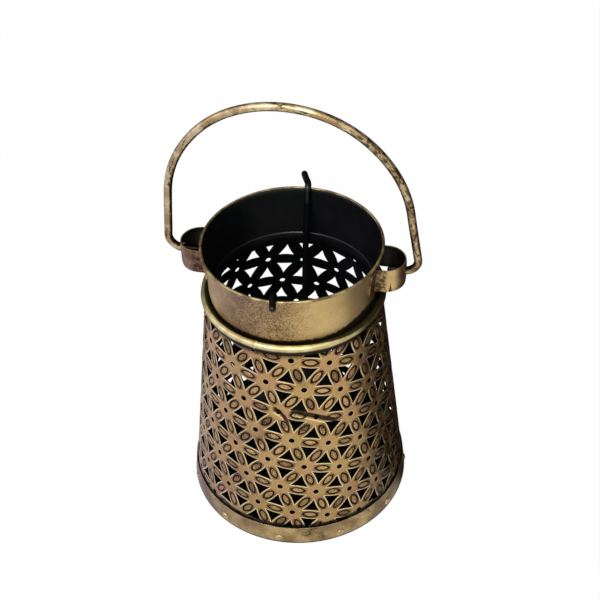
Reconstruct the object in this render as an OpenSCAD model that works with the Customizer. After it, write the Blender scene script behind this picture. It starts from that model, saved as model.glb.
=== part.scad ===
// Hanging tealight lantern of pierced sheet metal, standing on the XY plane.
// The ears and the bail lie along X, the front of the lantern faces -Y.

/* [Pierced body] */
// Outside diameter of the pierced wall at the floor
body_base_d = 107.2; // [95:0.1:120]
// Outside diameter of the pierced wall at its top edge
body_top_d = 80.4; // [70:0.1:90]
// Height of the pierced wall
body_h = 116.2; // [100:0.1:140]
// Thickness of the wall sheet
wall_t = 0.8; // [0.5:0.1:1.5]
// Distance between the centres of neighbouring flowers
flower_pitch = 17.4; // [14:0.1:22]
// Hole at the centre of each flower
flower_hole_d = 2.8; // [1:0.1:4]
// Flower centre to the nearest corner of a pierced triangle
corner_dist = 5.1; // [4:0.1:6]
// Width of a petal strip at its middle
petal_w = 6.4; // [5.4:0.1:8]
// Plain strip left along the top edge
top_margin = 1.6; // [1:0.1:5]
// Plain strip left along the bottom edge
bottom_margin = 3.2; // [1:0.1:8]
// Slope of the flower rows at the middle of the front sheet, in degrees
front_turn = 11; // [0:1:60]
// Slope of the flower rows at the middle of the back sheet, in degrees
back_turn = 50.8; // [0:0.1:60]
// Place of one flower across the front sheet, from its middle line
front_shift_x = -4.8; // [-9:0.1:9]
// Place of the same flower up the front sheet, from its middle height
front_shift_y = -5; // [-8:0.1:8]
// Place of one flower across the back sheet, from its middle line
back_shift_x = 2.7; // [-9:0.1:9]
// Place of the same flower up the back sheet, from its middle height
back_shift_y = -3.6; // [-8:0.1:8]
// Plain strip left along each upright seam
seam_margin = 2; // [1:0.1:5]

/* [Base] */
// Height of the plain band round the foot
band_h = 10.6; // [5:0.1:20]
// Thickness of the band sheet
band_t = 0.5; // [0.4:0.1:1.5]
// Thickness of the floor disc
floor_t = 0.8; // [0.5:0.1:2]
// Number of solder tacks round the foot
tack_count = 11; // [4:1:20]
// Radius of a solder tack
tack_r = 2; // [1.2:0.1:3]
// Height of the tacks above the floor
tack_z = 3; // [2:0.1:6]
// How far a tack stands out of the band
tack_rise = 0.8; // [0.3:0.1:1.1]

/* [Neck ring and collar] */
// Thickness of the round ring between body and collar
ring_wire_d = 3.8; // [2.5:0.1:4.5]
// How far the ring's centre line lies inside the wall's outside face
ring_inset = 0.25; // [0:0.05:0.5]
// How far the rim flares out from the straight part of the collar
rim_flare = 2; // [0.5:0.1:4]
// Height of the collar from its lower edge to the rim
collar_h = 30.6; // [27:0.1:60]
// How far the collar reaches down into the body
neck_in = 1.8; // [0.5:0.1:5]
// Height over which the collar flares out to the rim
flare_h = 17; // [14:0.1:20]
// Thickness of the collar sheet
collar_t = 0.8; // [0.6:0.1:1.2]
// Height of the folded hem at the rim
rim_hem_h = 1.2; // [0.6:0.1:2]
// How far the folded hem stands out
rim_hem_t = 0.4; // [0.2:0.1:0.8]
// Height of the folded hem inside the neck
neck_hem_h = 6; // [1:0.1:8]
// How far the neck hem stands in
neck_hem_t = 0.6; // [0.3:0.1:1]

/* [Ears] */
// Width of the ear strap, which is its height on the collar
ear_w = 11.7; // [9:0.1:14]
// Thickness of the ear strap
ear_t = 0.9; // [0.6:0.1:1.2]
// Outside radius of the bent loop
ear_r = 9; // [7:0.1:11]
// How far the loop stands out from the rim
ear_out = 10.5; // [9.5:0.1:14]
// Length of the tab on each side of the loop
ear_tab = 4; // [2:0.1:6]
// Bail hole in the ear
ear_hole_d = 4.8; // [4.4:0.1:6]
// Height of the bail hole below the rim
ear_drop = 10; // [8:0.1:11]

/* [Bail] */
// Thickness of the bail wire
bail_d = 3.6; // [2.5:0.1:4]
// How far each leg leans in from the bail hole to the foot of the arch
leg_in = 4.8; // [1:0.1:6]
// Height of the arch above its foot
arch_h = 57; // [52:0.1:75]
// Radius of the top of the arch
arch_top_r = 45; // [40:0.1:50]
// Height of the legs from the bail hole to the foot of the arch
leg_h = 26; // [16:0.1:32]
// Room between the ear and the bend of the leg outside it
leg_clear = 5; // [3.5:0.1:8]
// Bend radius where a leg turns into the ear
elbow_r = 4.5; // [3:0.1:5]
// Bend radius where a leg meets the arch
knee_r = 30; // [20:1:40]
// How far each end of the wire reaches into the ear
foot_in = 7.6; // [2:0.1:8]
// Lean of the bail towards the front, in degrees
bail_lean = 6; // [-20:1:20]

/* [Tealight holder] */
// Inside diameter of the tealight cup
cup_d = 41; // [39:0.1:46]
// Inside depth of the tealight cup
cup_depth = 15.4; // [10:0.1:20]
// Thickness of the cup sheet
cup_t = 0.6; // [0.4:0.1:1]
// Height of the cup above the floor of the lantern
cup_z = 50; // [20:1:60]
// Thickness of the hook wire
hook_d = 3; // [2:0.1:3.4]
// How far the front hook's outer end stands out from the rim
front_hook_out = 7.8; // [5:0.1:10]
// How far the back hook's outer end stands out from the rim
back_hook_out = 8.9; // [5:0.1:10]
// Bend radius of the hook over the rim
hook_bend_r = 2.2; // [2:0.1:3]
// Sideways bend of the front hook's outer end, in degrees
front_hook_turn = 11; // [0:1:40]
// Sideways bend of the back hook's outer end, in degrees
back_hook_turn = 22; // [0:1:40]

/* [Hidden] */
// Room between pieces that are soldered together
seat_gap = 0.05;
// How far a bend of the bail runs on into the rods at its ends
bend_lap = 0.1;
// How much thinner the bends of the bail are than the rods between them
bend_thin = 0.04;
// Room between a hook and the rim that it hangs on
hook_gap = 0.2;
// Extra length of every cutting shape
cut_over = 1;
// Segments in the flare of the collar
flare_steps = 10;
// Points along one curved side of a pierced triangle
side_steps = 2;
// A piercing that lies inside the plain strips by this share of its reach is whole
whole_share = 1.05;
// A piercing outside the plain strips by more than this share of its reach is left out
part_share = -0.2;
// Stands for no upper limit on such a share
open_share = 1 / 0;

// Taper of the wall: the share of the slant length by which its radius shrinks
taper = (body_base_d - body_top_d) / 2;
slant = norm([taper, body_h]);
sin_half = taper / slant;
half_angle = asin(sin_half);
apex_dist = body_base_d / 2 / sin_half;
row_step = flower_pitch * sqrt(3) / 2;
hole_reach = flower_pitch / sqrt(3) - corner_dist;

ring_r = body_top_d / 2 - ring_inset;
ring_z = body_h + seat_gap + ring_wire_d / 2;
collar_d = 2 * (ring_r - ring_wire_d / 2 - seat_gap);
rim_d = collar_d + 2 * rim_flare;
collar_low = body_h - neck_in;
rim_z = collar_low + collar_h;
flare_z = rim_z - flare_h;
flare_r = (pow(flare_h, 2) + pow(rim_flare, 2)) / (2 * rim_flare);

pin_z = rim_z - ear_drop;
ear_top = pin_z + ear_w / 2;
ear_low = pin_z - ear_w / 2;
ear_x = rim_d / 2 + ear_out - ear_r;

leg_half_w = rim_d / 2 + ear_out + leg_clear + bail_d / 2;
arch_half_w = leg_half_w - leg_in;
splay = atan(leg_in / leg_h);
side_r = (pow(arch_half_w, 2) + pow(arch_h - arch_top_r, 2) - pow(arch_top_r, 2))
         / (2 * (arch_half_w - arch_top_r));
side_angle = asin((arch_h - arch_top_r) / (side_r - arch_top_r));
knee_low = leg_h - knee_r * sin(splay);
knee_x = arch_half_w + knee_r * (1 - cos(splay));
elbow_top = elbow_r * (1 + sin(splay));
leg_len = (knee_low - elbow_top) / cos(splay);
elbow_x = knee_x + (knee_low - elbow_top) * tan(splay) - elbow_r * cos(splay);
foot_x = rim_d / 2 + ear_out - foot_in - ear_t;

cup_out_r = cup_d / 2 + cup_t;
hook_r0 = cup_out_r + seat_gap + hook_d / 2;
hook_z0 = cup_z + cup_depth / 2;
hook_z1 = rim_z + hook_gap + hook_d / 2;
hook_bend_x = rim_d / 2 - collar_t + hook_gap / 2;
hook_w = hook_bend_x - hook_r0 - hook_bend_r;
hook_h = hook_z1 - hook_z0 - hook_bend_r;
bow_r = hook_bend_r + (pow(hook_h, 2) + pow(hook_w, 2)) / (2 * hook_w);
bow_angle = asin(hook_h / (bow_r - hook_bend_r));

$fn = 96;

// Outside radius of the collar at a height above the floor
function collar_at(z) =
    collar_d / 2 + (z < flare_z ? 0 : flare_r - sqrt(pow(flare_r, 2) - pow(z - flare_z, 2)));

// Outside radius of the wall at a height above the floor
function wall_at(z) = body_base_d / 2 - z * taper / body_h;

// One pierced triangle of the flat sheet: corners towards the three flowers, sides drawn in
function triangle_points() =
    let (half = hole_reach * sin(60),
         side_in = flower_pitch / (2 * sqrt(3)) - petal_w / 2,
         sag = hole_reach / 2 - side_in,
         bow = (pow(half, 2) + pow(sag, 2)) / (2 * sag),
         spread = asin(half / bow))
    [for (side = [0:2], k = [0:side_steps - 1])
        let (a = -spread + 2 * spread * k / side_steps,
             x = side_in + bow * (1 - cos(a)),
             y = bow * sin(a),
             t = 120 * side)
        [x * cos(t) - y * sin(t), x * sin(t) + y * cos(t)]];

// Turns a point of the flat pattern by the slope of its rows
function sloped(q, turn) = [q[0] * cos(turn) + q[1] * sin(turn), q[1] * cos(turn) - q[0] * sin(turn)];

// Height on the wall of a point of the flat sheet
function sheet_z(p) = (apex_dist - norm(p)) * cos(half_angle);

// Distance of a point of the flat sheet from the nearer upright seam, along the wall
function seam_dist(p) = (90 * sin_half - abs(atan2(p[0], -p[1]))) * PI / 180 * norm(p);

// How far a point of the flat sheet lies inside the plain strips
function inside(p) =
    min(sheet_z(p) - bottom_margin, body_h - top_margin - sheet_z(p), seam_dist(p) - seam_margin);

// Places a cutter drawn on the flat sheet at its point p through the wall
module through_wall(p, middle) {
    rho = norm(p);
    phi = atan2(p[0], -p[1]);
    rotate([0, 0, middle + phi / sin_half])
        translate([rho * sin_half, 0, sheet_z(p)])
            rotate([0, -half_angle, 0])
                rotate([90, 0, 90])
                    rotate([0, 0, -phi])
                        translate([0, 0, -wall_t - cut_over])
                            children();
}

// The cutters whose places lie between two distances inside the plain strips
module piercings(middle, turn, shift, least, most) {
    sheet_middle = [0, slant / 2 - apex_dist];
    rows = ceil(slant / row_step);
    span = ceil(body_base_d / flower_pitch) + rows / 2;
    depth = wall_t + 2 * cut_over;
    for (j = [-rows:rows], i = [-span:span]) {
        q = [flower_pitch * (i - j / 2), row_step * j];
        flower = sheet_middle + shift + sloped(q, turn);
        if (inside(flower) > flower_hole_d * least && inside(flower) <= flower_hole_d * most)
            through_wall(flower, middle) cylinder(d = flower_hole_d, h = depth, $fn = 24);
        for (down = [0, 1]) {
            off = down == 0 ? [flower_pitch / 2, row_step / 3] : [0, row_step * 2 / 3];
            hole = flower + sloped(off, turn);
            if (inside(hole) > hole_reach * least && inside(hole) <= hole_reach * most)
                through_wall(hole, middle)
                    linear_extrude(depth)
                        rotate([0, 0, 30 + 60 * down - turn])
                            polygon(triangle_points());
        }
    }
}

// Half of the conical wall, pierced with the flower lattice up to its plain edge strips
module pierced_sheet(middle, turn, shift) {
    seam_turn = 90 - asin(seam_margin / (body_top_d / 2));
    difference() {
        rotate_extrude(angle = 180, start = middle - 90)
            polygon([[body_base_d / 2 - wall_t, 0], [body_base_d / 2, 0],
                     [body_top_d / 2, body_h], [body_top_d / 2 - wall_t, body_h]]);
        piercings(middle, turn, shift, whole_share, open_share);
        intersection() {
            rotate_extrude(angle = 2 * seam_turn, start = middle - seam_turn)
                translate([body_top_d / 4, bottom_margin])
                    square([body_base_d / 2, body_h - top_margin - bottom_margin]);
            piercings(middle, turn, shift, part_share, whole_share);
        }
    }
}

module front_panel() {
    color([0.62, 0.48, 0.26]) pierced_sheet(-90, front_turn, [front_shift_x, front_shift_y]);
}

module back_panel() {
    color([0.58, 0.45, 0.25]) pierced_sheet(90, back_turn, [back_shift_x, back_shift_y]);
}

module base_band() {
    low_r = body_base_d / 2 + seat_gap;
    high_r = wall_at(band_h) + seat_gap;
    color([0.55, 0.42, 0.22])
        rotate_extrude()
            polygon([[low_r, 0], [low_r + band_t, 0], [high_r + band_t, band_h], [high_r, band_h]]);
}

module base_plate() {
    color([0.12, 0.11, 0.1]) cylinder(r = wall_at(floor_t) - wall_t - seat_gap, h = floor_t);
}

// One tack: a low cap of solder on the YZ plane, standing out along +X
module tack() {
    intersection() {
        translate([tack_rise - tack_r, 0, 0]) sphere(r = tack_r, $fn = 48);
        translate([0, -tack_r, -tack_r]) cube([tack_r, 2 * tack_r, 2 * tack_r]);
    }
}

module solder_tacks() {
    color([0.5, 0.4, 0.24])
        for (k = [0:tack_count - 1])
            rotate([0, 0, -90 + 360 * k / tack_count])
                translate([wall_at(tack_z) + band_t + 2 * seat_gap, 0, tack_z])
                    rotate([0, -half_angle, 0])
                        tack();
}

// Outline of the collar sheet between two heights, standing out from the collar by a distance
function collar_side(z0, z1, out) = [for (k = [0:flare_steps])
    let (z = z0 + (z1 - z0) * k / flare_steps) [collar_at(z) + out, z]];

// A list of points in the opposite order
function backwards(points) = [for (k = [len(points) - 1:-1:0]) points[k]];

module collar() {
    bore_r = collar_d / 2 - collar_t;
    color([0.5, 0.38, 0.22])
        rotate_extrude()
            union() {
                polygon(concat([[bore_r, collar_low], [collar_d / 2, collar_low]],
                               collar_side(flare_z, rim_z, 0),
                               backwards(collar_side(flare_z, rim_z, -collar_t))));
                translate([bore_r - neck_hem_t, collar_low]) square([neck_hem_t + collar_t / 2, neck_hem_h]);
                translate([rim_d / 2 - collar_t / 2, rim_z - rim_hem_h])
                    square([rim_hem_t + collar_t / 2, rim_hem_h]);
            }
}

module bead_ring() {
    color([0.78, 0.65, 0.3])
        rotate_extrude()
            translate([ring_r, ring_z])
                circle(d = ring_wire_d, $fn = 48);
}

// One ear: a bent loop with a bail hole, and a tab on each side that follows the collar
module ear() {
    tab_turn = asin((ear_r + ear_tab) / (collar_d / 2));
    difference() {
        union() {
            rotate_extrude(angle = 2 * tab_turn, start = -tab_turn)
                polygon(concat(collar_side(ear_low, ear_top, seat_gap),
                               backwards(collar_side(ear_low, ear_top, seat_gap + ear_t))));
            translate([ear_x, 0, ear_low])
                difference() {
                    union() {
                        cylinder(r = ear_r, h = ear_w);
                        translate([-ear_r, -ear_r, 0]) cube([ear_r, 2 * ear_r, ear_w]);
                    }
                    translate([0, 0, -cut_over]) cylinder(r = ear_r - ear_t, h = ear_w + 2 * cut_over);
                    translate([-ear_r - cut_over, -ear_r + ear_t, -cut_over])
                        cube([ear_r + cut_over, 2 * (ear_r - ear_t), ear_w + 2 * cut_over]);
                }
        }
        translate([0, -ear_r + ear_t, ear_low - cut_over])
            cube([ear_x, 2 * (ear_r - ear_t), ear_w + 2 * cut_over]);
        rotate_extrude()
            polygon(concat([[0, ear_low - cut_over], [collar_at(ear_low) + seat_gap, ear_low - cut_over]],
                           collar_side(ear_low, ear_top, seat_gap),
                           [[collar_at(ear_top) + seat_gap, ear_top + cut_over], [0, ear_top + cut_over]]));
        translate([ear_x, 0, pin_z])
            rotate([0, 90, 0])
                cylinder(d = ear_hole_d, h = ear_r + cut_over, $fn = 48);
    }
}

module right_ear() {
    color([0.6, 0.48, 0.28]) ear();
}

module left_ear() {
    color([0.6, 0.48, 0.28]) mirror([1, 0, 0]) ear();
}

// A round rod bent in the XY plane about the origin, from angle a0 to angle a1
module bent_rod(path_r, a0, a1, d) {
    rotate_extrude(angle = a1 - a0, start = a0)
        translate([path_r, 0])
            circle(d = d, $fn = 32);
}

// A bend of the bail about the origin, from angle a0 to angle a1, that runs on at both ends
module lapped_bend(path_r, a0, a1) {
    lap_turn = asin(bend_lap / path_r);
    bent_rod(path_r, a0 - lap_turn, a1 + lap_turn, bail_d - bend_thin);
}

// Right side of the bail up to its top arc, drawn in the XY plane with the bail hole on the X axis
module bail_side() {
    translate([foot_x, 0, 0])
        rotate([0, 90, 0])
            cylinder(d = bail_d, h = elbow_x - foot_x, $fn = 32);
    translate([elbow_x, elbow_r, 0]) lapped_bend(elbow_r, -90, splay);
    translate([elbow_x + elbow_r * cos(splay), elbow_top, 0])
        rotate([-90, 0, splay])
            cylinder(d = bail_d, h = leg_len, $fn = 32);
    translate([arch_half_w + knee_r, leg_h, 0]) lapped_bend(knee_r, 180, 180 + splay);
    translate([arch_half_w - side_r, leg_h, 0]) bent_rod(side_r, 0, side_angle, bail_d);
}

module bail_handle() {
    color([0.7, 0.62, 0.42])
        translate([0, 0, pin_z])
            rotate([90 + bail_lean, 0, 0]) {
                bail_side();
                mirror([1, 0, 0]) bail_side();
                translate([0, leg_h + arch_h - arch_top_r, 0])
                    lapped_bend(arch_top_r, side_angle, 180 - side_angle);
            }
}

// The bowed wire of one hook, drawn towards +X, from the cup to the top of the rim
module hook_wire() {
    joint_turn = 180 - bow_angle;
    translate([hook_r0, 0, cup_z]) cylinder(d = hook_d, h = hook_z0 - cup_z, $fn = 32);
    translate([hook_r0, 0, hook_z0]) sphere(d = hook_d + seat_gap, $fn = 32);
    translate([hook_bend_x + hook_bend_r * cos(joint_turn), 0,
               hook_z1 - hook_bend_r + hook_bend_r * sin(joint_turn)])
        sphere(d = hook_d + seat_gap, $fn = 32);
    translate([hook_r0 + bow_r, 0, hook_z0])
        rotate([90, 0, 0])
            bent_rod(bow_r, joint_turn, 180, hook_d);
    translate([hook_bend_x, 0, hook_z1 - hook_bend_r])
        rotate([90, 0, 0])
            bent_rod(hook_bend_r, 90, joint_turn, hook_d);
}

// A straight rod with a round end, drawn towards +X
module round_ended_rod(length, d) {
    rotate([0, 90, 0]) cylinder(d = d, h = length - d / 2, $fn = 32);
    translate([length - d / 2, 0, 0]) sphere(d = d, $fn = 32);
}

// One hook, drawn towards +X: its outer end lies over the rim, bent sideways by an angle
module hook(out, turn) {
    hook_wire();
    translate([hook_bend_x, 0, hook_z1]) {
        sphere(d = hook_d + seat_gap, $fn = 32);
        rotate([0, 0, turn]) round_ended_rod((rim_d / 2 + out - hook_bend_x) / cos(turn), hook_d);
    }
}

module front_hook() {
    color([0.1, 0.09, 0.08]) rotate([0, 0, -90]) hook(front_hook_out, front_hook_turn);
}

module back_hook() {
    color([0.1, 0.09, 0.08]) rotate([0, 0, 90]) hook(back_hook_out, back_hook_turn);
}

module candle_cup() {
    color([0.13, 0.12, 0.11])
        translate([0, 0, cup_z])
            difference() {
                cylinder(r = cup_out_r, h = cup_depth + cup_t);
                translate([0, 0, cup_t]) cylinder(d = cup_d, h = cup_depth + cut_over);
            }
}

front_panel();
back_panel();
base_band();
base_plate();
solder_tacks();
collar();
bead_ring();
left_ear();
right_ear();
bail_handle();
front_hook();
back_hook();
candle_cup();
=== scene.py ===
"""The looks of a hanging tealight lantern of pierced sheet metal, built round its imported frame.

Lengths are in millimetres until a mesh is made. The ears lie along X and the front faces -Y.
"""
import math

import bmesh
import bpy
import numpy as np
from mathutils import Matrix, Vector


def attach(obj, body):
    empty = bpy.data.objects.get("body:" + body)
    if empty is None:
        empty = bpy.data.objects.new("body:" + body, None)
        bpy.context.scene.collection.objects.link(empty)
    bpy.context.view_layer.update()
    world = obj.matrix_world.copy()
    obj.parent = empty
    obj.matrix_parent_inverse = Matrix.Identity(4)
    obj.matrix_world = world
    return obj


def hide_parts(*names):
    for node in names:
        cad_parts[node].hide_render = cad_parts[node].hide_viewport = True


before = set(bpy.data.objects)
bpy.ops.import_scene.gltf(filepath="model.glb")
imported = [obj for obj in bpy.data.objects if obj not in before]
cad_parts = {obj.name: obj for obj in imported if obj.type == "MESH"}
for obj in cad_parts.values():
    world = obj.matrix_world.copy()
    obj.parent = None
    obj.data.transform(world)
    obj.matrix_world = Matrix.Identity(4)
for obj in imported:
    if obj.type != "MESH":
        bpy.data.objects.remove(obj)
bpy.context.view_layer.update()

MM = 0.001
SHARP_EDGE = 38
rng = np.random.default_rng(7)

# Sizes of the pierced wall
BASE_R = 53.6
TOP_R = 40.2
BODY_H = 116.2
WALL = 0.8
PITCH = 17.4
ROW = PITCH * math.sqrt(3) / 2
FLOWER_HOLE_R = 1.4
HUB_R = 5.1
PETAL_HALF_W = 2.9
FRONT_SHEET = {"middle": -90, "turn": 11, "shift": (-4.8, -5)}
BACK_SHEET = {"middle": 90, "turn": 50.8, "shift": (2.7, -3.6)}
TOP_STRIP = 1.6
BOTTOM_STRIP = 3.2
SEAM_STRIP = 2
STRIP_PROUD = 0.04

TAPER = BASE_R - TOP_R
SLANT = math.hypot(TAPER, BODY_H)
SIN_HALF = TAPER / SLANT
COS_HALF = BODY_H / SLANT
APEX = BASE_R / SIN_HALF

# A petal's outline: two short ends at its flowers, joined by two arcs
END_X = PITCH / 2 - HUB_R * math.cos(math.radians(30))
END_Y = HUB_R / 2
SIDE_SAG = PETAL_HALF_W - END_Y
SIDE_R = (END_X ** 2 + SIDE_SAG ** 2) / (2 * SIDE_SAG)
SIDE_POINTS = 7
PETAL_CORNERS = 2 * (SIDE_POINTS + 1)

# A petal's embossed oval: where (|v| / b) ^ power + (u / a) ^ 2 is 1
OVAL_A = 3.3
OVAL_B = 1.5
OVAL_POWER = 1.4

# Rings of a petal from its middle outwards: share of the oval and height
PETAL_RINGS = [(0.84, -0.13), (1.0, -0.46), (1.13, -0.05)]
RING_LENGTHWAYS = 0.6
LENS_LEVEL = 0.0
HUB_LEVEL = -0.05
EDGE_LEVEL = -0.18
LIP_W = 0.55
LIP_LEVEL = -0.03
HOLE_LEVEL = -0.14

# How much copies differ from each other: shift each way, span of size and span of depth
PETAL_SPREAD = (0.1, 0.16, 0.5)
HUB_SPREAD = (0, 0, 0)

# Stretches of the creased lap: from x, to x, and a, b and c of z = a + b x + c x ^ 2
LAPS = ((-2.4, 6.9, 83.35, -0.62, -0.115), (5.5, 27.5, 84.62, -0.09, -0.0125))
LAP_DARK = 1.3
LAP_EDGE = 2.4
LAP_DEPTH = 0.6
LAP_WIDTH = 1.5
LAP_FADE = 2
FRONT_Y = -20.0
FRONT_FADE = 5.0

# Places where the gold has worn off in smudges: x, z and radius
SMUDGES = ((11.9, 74, 3.4), (19.5, 72.5, 2.6), (3.1, 74.9, 2.2), (-5.4, 74.6, 2), (-9.7, 47.2, 3),
           (-21.6, 35.8, 3))

# Sizes of the foot
BAND_H = 10.6
BAND_TOP = 10
BAND_T = 0.5
BAND_BEVEL = 0.12
FLOOR_T = 0.8
FLOOR_BEVEL = 0.2
FLOOR_RING_W = 6
FLOOR_SLOPE_W = 3
FLOOR_DISH = 0.25
TACKS = 11
TACK_R = 2
TACK_Z = 3
TACK_RISE = 0.8
TACK_SINK = 0.1
SEAT_GAP = 0.05

# Sizes of the ring and the collar
RING_WIRE_R = 1.9
RING_INSET = 0.25
RING_R = TOP_R - RING_INSET
RING_Z = BODY_H + SEAT_GAP + RING_WIRE_R
RING_JOINT = math.radians(258)
NECK_IN = 1.8
COLLAR_H = 30.6
COLLAR_T = 0.8
COLLAR_R = RING_R - RING_WIRE_R - SEAT_GAP
COLLAR_LOW = BODY_H - NECK_IN
COLLAR_ROWS = (120.5, 124.5)
RIM_FLARE = 2
RIM_R = COLLAR_R + RIM_FLARE
RIM_Z = COLLAR_LOW + COLLAR_H
FLARE_H = 17
FLARE_Z = RIM_Z - FLARE_H
FLARE_R = (FLARE_H ** 2 + RIM_FLARE ** 2) / (2 * RIM_FLARE)
COLLAR_BEVEL = 0.2
RIM_BEVEL = 0.25
HEM_H = 1.2
HEM_T = 0.4
NECK_HEM_H = 6
NECK_BEAD = 0.85
NECK_BEAD_HALF_H = 1.9
NECK_BEAD_DROP = 1.3

# How far hand-bent sheet sways: in radius, in height, from this height up, and in full at this one
COLLAR_SWAY = (0.22, 0.1, FLARE_Z - 6, RIM_Z)
BAND_SWAY = (0.06, 0.16, 1, BAND_TOP)

# Sizes of the ears
EAR_W = 11.7
EAR_T = 0.9
EAR_R = 9
EAR_OUT = 10.5
EAR_X = RIM_R + EAR_OUT - EAR_R
EAR_DROP = 10
EAR_TAB = 4
EAR_TIP_SHARE = 0.55
EAR_BEND_R = 1.6
EAR_HOLE_R = 2.4
DRILL_END = 60
PIN_Z = RIM_Z - EAR_DROP

# Sizes of the bail
BAIL_R = 1.8
BAIL_DENTS = 0.004
FOOT_IN = 7.6
FOOT_X = RIM_R + EAR_OUT - FOOT_IN - EAR_T
ELBOW_R = 6.7
LEG_SLOPE = 7.62
LEG_TOP = (51.95, 33.7)
SIDE_ARC_R = 61
TOP_ARC_R = 48.66
BAIL_SHIFT = -0.31
SHIFT_H = 26
BAIL_LEAN = 6

# Sizes of the tealight holder
CUP_R = 20.5
CUP_T = 0.6
CUP_DEPTH = 15.4
CUP_Z = 50
CUP_BEND_R = 1.0
HOOK_WIRE_R = 1.5
HOOK_GAP = 0.2
HOOK_DENTS = 0.01
HOOK_DARK = 5
HOOK_R0 = CUP_R + CUP_T + SEAT_GAP + HOOK_WIRE_R
HOOK_Z0 = CUP_Z + CUP_DEPTH / 2
HOOK_Z1 = RIM_Z + HOOK_GAP + HOOK_WIRE_R
HOOK_BEND_X = RIM_R - COLLAR_T + HOOK_GAP / 2
HOOK_BEND_R = 2.2
HOOK_TURN_FROM = 0.55
FRONT_HOOK = {"toward": -1, "out": 7.8, "turn": 11}
BACK_HOOK = {"toward": 1, "out": 8.9, "turn": 22}

# Heights between which the wall darkens towards the band and towards the ring, black paint with painted
# shadow
FOOT_CREASE = (BAND_H + 2.2, BAND_H + 0.9)
NECK_CREASE = (BODY_H - 4.5, BODY_H - 1.5)

# Places of marks: the crease of black paint and painted shadow, the nick, worn specks and a painted
# highlight; heights and X in millimetres, ways round in radians from +X
CREASE_Z = 121.3
NICK_X = 44.7
NICK_Z = 130
SPECKS_WAY = -1.75
HIGHLIGHT_WAY = -1.2

# The dark underside of the bail's wire, black paint and painted shade, as a share of a turn round it
UNDERSIDE = 0.72


class Wire:
    """One socket of a material's nodes. The usual operators on it add Math nodes."""

    def __init__(self, bench, socket):
        self.bench = bench
        self.socket = socket

    def __add__(self, other):
        return self.bench.calc("ADD", self, other)

    def __sub__(self, other):
        return self.bench.calc("SUBTRACT", self, other)

    def __rsub__(self, other):
        return self.bench.calc("SUBTRACT", other, self)

    def __mul__(self, other):
        return self.bench.calc("MULTIPLY", self, other)

    def __truediv__(self, other):
        return self.bench.calc("DIVIDE", self, other)

    def __rtruediv__(self, other):
        return self.bench.calc("DIVIDE", other, self)

    def __pow__(self, other):
        return self.bench.calc("POWER", self, other)

    def __abs__(self):
        return self.bench.calc("ABSOLUTE", self)

    __radd__ = __add__
    __rmul__ = __mul__


class Bench:
    """The nodes of a tree: calc adds a Math node, and make adds a node of any other type."""

    def __init__(self, tree, material=None):
        self.tree = tree
        self.material = material
        tree.nodes.clear()

    @classmethod
    def new(cls, name):
        material = bpy.data.materials.new(name)
        material.use_nodes = True
        bench = cls(material.node_tree, material)
        bench.object_point = bench.make("ShaderNodeTexCoord", out="Object")
        return bench

    def make(self, kind, settings=None, sockets=None, out=0):
        node = self.tree.nodes.new(kind)
        for key, value in (settings or {}).items():
            setattr(node, key, value)
        for key, value in (sockets or {}).items():
            if isinstance(value, Wire):
                self.tree.links.new(value.socket, node.inputs[key])
            else:
                node.inputs[key].default_value = value
        return Wire(self, node.outputs[out]) if node.outputs else None

    def calc(self, operation, *values):
        return self.make("ShaderNodeMath", {"operation": operation}, dict(enumerate(values)))

    def most(self, first, *others):
        """The largest of several values."""
        for other in others:
            first = self.calc("MAXIMUM", first, other)
        return first

    def smooth(self, value, low, high):
        """0 at low, 1 at high, eased in between; low may be the larger."""
        return self.make("ShaderNodeMapRange", {"interpolation_type": "SMOOTHSTEP"},
                         {"Value": value, "From Min": low, "From Max": high})

    def line(self, distance, fade, solid):
        """1 where a distance, of either sign, is under solid, easing to 0 at fade."""
        return self.smooth(abs(distance), fade, solid)

    def noise_at(self, point, scale, detail, roughness=0.55):
        """Noise between 0 and 1 at a point, with scale blotches to its unit."""
        return self.make("ShaderNodeTexNoise", {"noise_dimensions": "3D"},
                         {"Vector": point, "Scale": scale, "Detail": detail, "Roughness": roughness})

    def noise(self, size_mm, detail=3, roughness=0.55):
        """Noise between 0 and 1 whose blotches are about size_mm across."""
        return self.noise_at(self.object_point, 1 / (size_mm * MM), detail, roughness)

    def blotches(self, size_mm, low, high, detail=3):
        """Noise with its contrast raised: 0 where it is under low, 1 where it is over high."""
        return self.smooth(self.noise(size_mm, detail), low, high)

    def grain(self, along, around, per_mm, per_turn):
        """Noise drawn out along a wire, with its spots per millimetre and per turn round the wire."""
        point = self.make("ShaderNodeCombineXYZ", None, {0: along * per_mm, 1: around * per_turn})
        return self.noise_at(point, 1.0, 4)

    def parts(self, vector):
        node = self.make("ShaderNodeSeparateXYZ", None, {0: vector}).socket.node
        return [Wire(self, node.outputs[k]) for k in range(3)]

    def place(self):
        """x, y and z of the shaded point in the lantern's own millimetres."""
        return [part / MM for part in self.parts(self.object_point)]

    def uv(self, name):
        return self.parts(self.make("ShaderNodeUVMap", {"uv_map": name}))[:2]

    def mix(self, amount, low, high):
        return self.make("ShaderNodeMix", {"data_type": "RGBA"}, {0: amount, 6: low, 7: high}, out=2)

    def coats(self, color, layers):
        """Coats of paint over a colour, first to last: how much of each shows, and its own colour."""
        for amount, coat in layers:
            color = self.mix(amount, color, coat)
        return color

    def bump(self, height, distance_mm):
        """A normal from a height between 0 and 1 that stands for distance_mm."""
        return self.make("ShaderNodeBump", None, {"Height": height, "Distance": distance_mm * MM})

    def finish(self, **sockets):
        shader = self.make("ShaderNodeBsdfPrincipled", None,
                           {key.replace("_", " "): value for key, value in sockets.items()})
        self.make("ShaderNodeOutputMaterial", None, {0: shader})
        return self.material


def waver(noise, reach):
    """A noise made to swing round 0, by half of reach each way."""
    return (noise - 0.5) * reach


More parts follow.
